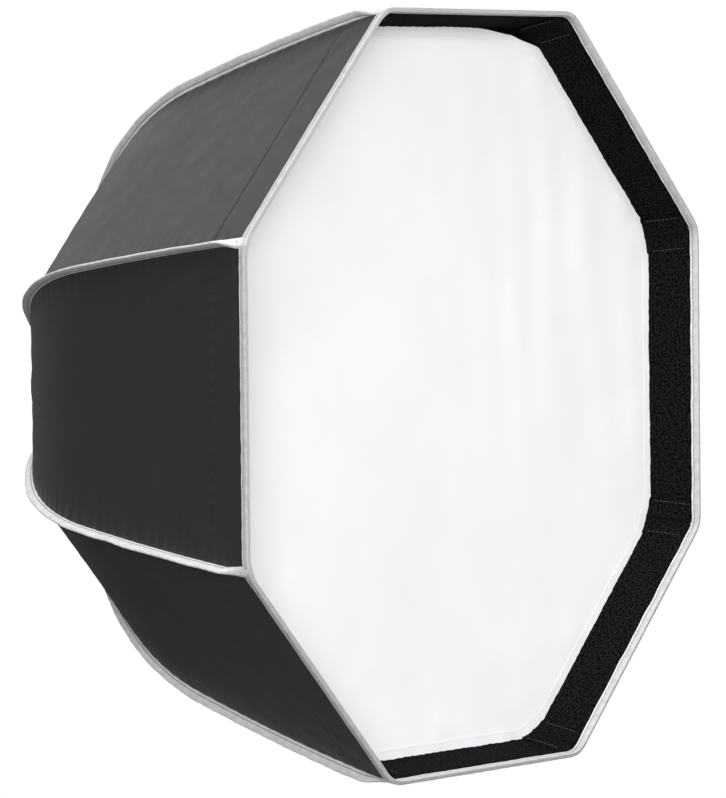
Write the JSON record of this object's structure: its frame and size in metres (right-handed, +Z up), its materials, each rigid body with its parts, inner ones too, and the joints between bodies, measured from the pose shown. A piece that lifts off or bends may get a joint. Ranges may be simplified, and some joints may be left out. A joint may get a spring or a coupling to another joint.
{
  "type": "octabox",
  "caption": "Folding octagonal softbox with hinged spring ribs, dark gores, a recessed white front diffuser and a quick-lock hub on a bayonet mount.",
  "frame": {"origin": "centre of the mount ring's rear mating face, on the optical axis", "axes": "-Y points out of the open front along the light, +Y towards the flash head, +Z up with a flat side of the rim on top, +X to the right when looking along +Y"},
  "size_m": [0.5696, 0.3798, 0.5696],
  "materials": {
    "mount_metal": "satin machined",
    "hub_plastic": "fine textured",
    "lock_plastic": "fine textured",
    "steel": "bright",
    "lever_nylon": "glass-filled nylon",
    "rod_steel": "drawn spring steel",
    "gore_fabric": "black woven polyester with a silver reflective lining",
    "binding_tape": "light grey woven bias tape",
    "cuff_fabric": "black knitted elastic",
    "diffuser_cloth": "white translucent woven nylon",
    "hook_tape": "hook and loop tape",
    "elastic": "black woven elastic",
    "snap_metal": "polished"
  },
  "bodies": {
    "hub": {"mount_ring": "mount_metal", "bayonet_lugs": "mount_metal", "rear_housing": "hub_plastic", "rib_carrier": "hub_plastic", "pivot_pins": "steel", "housing_screws": "steel", "mount_screws": "steel", "detent_springs": "steel", "rear_cuff": "cuff_fabric", "front_diffuser": "diffuser_cloth", "diffuser_hook_tape": "hook_tape", "inner_diffuser": "diffuser_cloth", "inner_straps": "elastic", "inner_snaps": "snap_metal"},
    "lock_ring": {"lock_ring": "lock_plastic"},
    "rib_1": {"rib_root_1": "lever_nylon", "rib_rod_1": "rod_steel", "rib_binding_1": "binding_tape"},
    "rib_2": {"rib_root_2": "lever_nylon", "rib_rod_2": "rod_steel", "rib_binding_2": "binding_tape"},
    "rib_3": {"rib_root_3": "lever_nylon", "rib_rod_3": "rod_steel", "rib_binding_3": "binding_tape"},
    "rib_4": {"rib_root_4": "lever_nylon", "rib_rod_4": "rod_steel", "rib_binding_4": "binding_tape"},
    "rib_5": {"rib_root_5": "lever_nylon", "rib_rod_5": "rod_steel", "rib_binding_5": "binding_tape"},
    "rib_6": {"rib_root_6": "lever_nylon", "rib_rod_6": "rod_steel", "rib_binding_6": "binding_tape"},
    "rib_7": {"rib_root_7": "lever_nylon", "rib_rod_7": "rod_steel", "rib_binding_7": "binding_tape"},
    "rib_8": {"rib_root_8": "lever_nylon", "rib_rod_8": "rod_steel", "rib_binding_8": "binding_tape"},
    "gore_1_a": {"gore_1_a": "gore_fabric"},
    "gore_1_b": {"gore_1_b": "gore_fabric"},
    "gore_2_a": {"gore_2_a": "gore_fabric"},
    "gore_2_b": {"gore_2_b": "gore_fabric"},
    "gore_3_a": {"gore_3_a": "gore_fabric"},
    "gore_3_b": {"gore_3_b": "gore_fabric"},
    "gore_4_a": {"gore_4_a": "gore_fabric"},
    "gore_4_b": {"gore_4_b": "gore_fabric"},
    "gore_5_a": {"gore_5_a": "gore_fabric"},
    "gore_5_b": {"gore_5_b": "gore_fabric"},
    "gore_6_a": {"gore_6_a": "gore_fabric"},
    "gore_6_b": {"gore_6_b": "gore_fabric"},
    "gore_7_a": {"gore_7_a": "gore_fabric"},
    "gore_7_b": {"gore_7_b": "gore_fabric"},
    "gore_8_a": {"gore_8_a": "gore_fabric"},
    "gore_8_b": {"gore_8_b": "gore_fabric"}
  },
  "joints": [
    {"name": "lock_turn", "type": "hinge", "parent": "hub", "child": "lock_ring", "pos_m": [0, -0.0066, 0], "axis": [0, -1, 0], "range_deg": [-12, 0]},
    {"name": "rib_1_fold", "type": "hinge", "parent": "hub", "child": "rib_1", "pos_m": [0.06467, -0.02, 0.02679], "axis": [0.3827, 0, -0.9239], "range_deg": [0, 38], "deforming": ["rear_cuff", "front_diffuser", "diffuser_hook_tape", "inner_diffuser", "inner_straps", "inner_snaps", "gore_1_a", "gore_1_b", "gore_2_a", "gore_2_b", "gore_3_a", "gore_3_b", "gore_4_a", "gore_4_b", "gore_5_a", "gore_5_b", "gore_6_a", "gore_6_b", "gore_7_a", "gore_7_b", "gore_8_a", "gore_8_b"]},
    {"name": "rib_2_fold", "type": "hinge", "parent": "hub", "child": "rib_2", "pos_m": [0.02679, -0.02, 0.06467], "axis": [0.9239, 0, -0.3827], "range_deg": [0, 38]},
    {"name": "rib_3_fold", "type": "hinge", "parent": "hub", "child": "rib_3", "pos_m": [-0.02679, -0.02, 0.06467], "axis": [0.9239, 0, 0.3827], "range_deg": [0, 38]},
    {"name": "rib_4_fold", "type": "hinge", "parent": "hub", "child": "rib_4", "pos_m": [-0.06467, -0.02, 0.02679], "axis": [0.3827, 0, 0.9239], "range_deg": [0, 38]},
    {"name": "rib_5_fold", "type": "hinge", "parent": "hub", "child": "rib_5", "pos_m": [-0.06467, -0.02, -0.02679], "axis": [-0.3827, 0, 0.9239], "range_deg": [0, 38]},
    {"name": "rib_6_fold", "type": "hinge", "parent": "hub", "child": "rib_6", "pos_m": [-0.02679, -0.02, -0.06467], "axis": [-0.9239, 0, 0.3827], "range_deg": [0, 38]},
    {"name": "rib_7_fold", "type": "hinge", "parent": "hub", "child": "rib_7", "pos_m": [0.02679, -0.02, -0.06467], "axis": [-0.9239, 0, -0.3827], "range_deg": [0, 38]},
    {"name": "rib_8_fold", "type": "hinge", "parent": "hub", "child": "rib_8", "pos_m": [0.06467, -0.02, -0.02679], "axis": [-0.3827, 0, -0.9239], "range_deg": [0, 38]},
    {"name": "gore_1_a_fold", "type": "hinge", "parent": "rib_1", "child": "gore_1_a", "pos_m": [0.01663, -0.02677, 0.09138], "axis": [-0.0446, 0.1165, 0.9922], "range_deg": [0, 21.12]},
    {"name": "gore_1_b_fold", "type": "hinge", "parent": "rib_2", "child": "gore_1_b", "pos_m": [0.09138, -0.02677, 0.01663], "axis": [-0.9922, -0.1165, 0.0446], "range_deg": [0, 21.12]},
    {"name": "gore_2_a_fold", "type": "hinge", "parent": "rib_2", "child": "gore_2_a", "pos_m": [-0.05285, -0.02677, 0.07638], "axis": [-0.7331, 0.1165, 0.67], "range_deg": [0, 21.12]},
    {"name": "gore_2_b_fold", "type": "hinge", "parent": "rib_3", "child": "gore_2_b", "pos_m": [0.05285, -0.02677, 0.07638], "axis": [-0.7331, -0.1165, -0.67], "range_deg": [0, 21.12]},
    {"name": "gore_3_a_fold", "type": "hinge", "parent": "rib_3", "child": "gore_3_a", "pos_m": [-0.09138, -0.02677, 0.01663], "axis": [-0.9922, 0.1165, -0.0446], "range_deg": [0, 21.12]},
    {"name": "gore_3_b_fold", "type": "hinge", "parent": "rib_4", "child": "gore_3_b", "pos_m": [-0.01663, -0.02677, 0.09138], "axis": [-0.0446, -0.1165, -0.9922], "range_deg": [0, 21.12]},
    {"name": "gore_4_a_fold", "type": "hinge", "parent": "rib_4", "child": "gore_4_a", "pos_m": [-0.07638, -0.02677, -0.05285], "axis": [-0.67, 0.1165, -0.7331], "range_deg": [0, 21.12]},
    {"name": "gore_4_b_fold", "type": "hinge", "parent": "rib_5", "child": "gore_4_b", "pos_m": [-0.07638, -0.02677, 0.05285], "axis": [0.67, -0.1165, -0.7331], "range_deg": [0, 21.12]},
    {"name": "gore_5_a_fold", "type": "hinge", "parent": "rib_5", "child": "gore_5_a", "pos_m": [-0.01663, -0.02677, -0.09138], "axis": [0.0446, 0.1165, -0.9922], "range_deg": [0, 21.12]},
    {"name": "gore_5_b_fold", "type": "hinge", "parent": "rib_6", "child": "gore_5_b", "pos_m": [-0.09138, -0.02677, -0.01663], "axis": [0.9922, -0.1165, -0.0446], "range_deg": [0, 21.12]},
    {"name": "gore_6_a_fold", "type": "hinge", "parent": "rib_6", "child": "gore_6_a", "pos_m": [0.05285, -0.02677, -0.07638], "axis": [0.7331, 0.1165, -0.67], "range_deg": [0, 21.12]},
    {"name": "gore_6_b_fold", "type": "hinge", "parent": "rib_7", "child": "gore_6_b", "pos_m": [-0.05285, -0.02677, -0.07638], "axis": [0.7331, -0.1165, 0.67], "range_deg": [0, 21.12]},
    {"name": "gore_7_a_fold", "type": "hinge", "parent": "rib_7", "child": "gore_7_a", "pos_m": [0.09138, -0.02677, -0.01663], "axis": [0.9922, 0.1165, 0.0446], "range_deg": [0, 21.12]},
    {"name": "gore_7_b_fold", "type": "hinge", "parent": "rib_8", "child": "gore_7_b", "pos_m": [0.01663, -0.02677, -0.09138], "axis": [0.0446, -0.1165, 0.9922], "range_deg": [0, 21.12]},
    {"name": "gore_8_a_fold", "type": "hinge", "parent": "rib_8", "child": "gore_8_a", "pos_m": [0.07638, -0.02677, 0.05285], "axis": [0.67, 0.1165, 0.7331], "range_deg": [0, 21.12]},
    {"name": "gore_8_b_fold", "type": "hinge", "parent": "rib_1", "child": "gore_8_b", "pos_m": [0.07638, -0.02677, -0.05285], "axis": [-0.67, -0.1165, 0.7331], "range_deg": [0, 21.12]}
  ],
  "couplings": [
    {"joint": "rib_2_fold", "follows": "rib_1_fold", "ratio": 1},
    {"joint": "rib_3_fold", "follows": "rib_1_fold", "ratio": 1},
    {"joint": "rib_4_fold", "follows": "rib_1_fold", "ratio": 1},
    {"joint": "rib_5_fold", "follows": "rib_1_fold", "ratio": 1},
    {"joint": "rib_6_fold", "follows": "rib_1_fold", "ratio": 1},
    {"joint": "rib_7_fold", "follows": "rib_1_fold", "ratio": 1},
    {"joint": "rib_8_fold", "follows": "rib_1_fold", "ratio": 1},
    {"joint": "gore_1_a_fold", "follows": "rib_1_fold", "ratio": 0.55558},
    {"joint": "gore_1_b_fold", "follows": "rib_1_fold", "ratio": 0.55558},
    {"joint": "gore_2_a_fold", "follows": "rib_1_fold", "ratio": 0.55558},
    {"joint": "gore_2_b_fold", "follows": "rib_1_fold", "ratio": 0.55558},
    {"joint": "gore_3_a_fold", "follows": "rib_1_fold", "ratio": 0.55558},
    {"joint": "gore_3_b_fold", "follows": "rib_1_fold", "ratio": 0.55558},
    {"joint": "gore_4_a_fold", "follows": "rib_1_fold", "ratio": 0.55558},
    {"joint": "gore_4_b_fold", "follows": "rib_1_fold", "ratio": 0.55558},
    {"joint": "gore_5_a_fold", "follows": "rib_1_fold", "ratio": 0.55558},
    {"joint": "gore_5_b_fold", "follows": "rib_1_fold", "ratio": 0.55558},
    {"joint": "gore_6_a_fold", "follows": "rib_1_fold", "ratio": 0.55558},
    {"joint": "gore_6_b_fold", "follows": "rib_1_fold", "ratio": 0.55558},
    {"joint": "gore_7_a_fold", "follows": "rib_1_fold", "ratio": 0.55558},
    {"joint": "gore_7_b_fold", "follows": "rib_1_fold", "ratio": 0.55558},
    {"joint": "gore_8_a_fold", "follows": "rib_1_fold", "ratio": 0.55558},
    {"joint": "gore_8_b_fold", "follows": "rib_1_fold", "ratio": 0.55558}
  ]
}
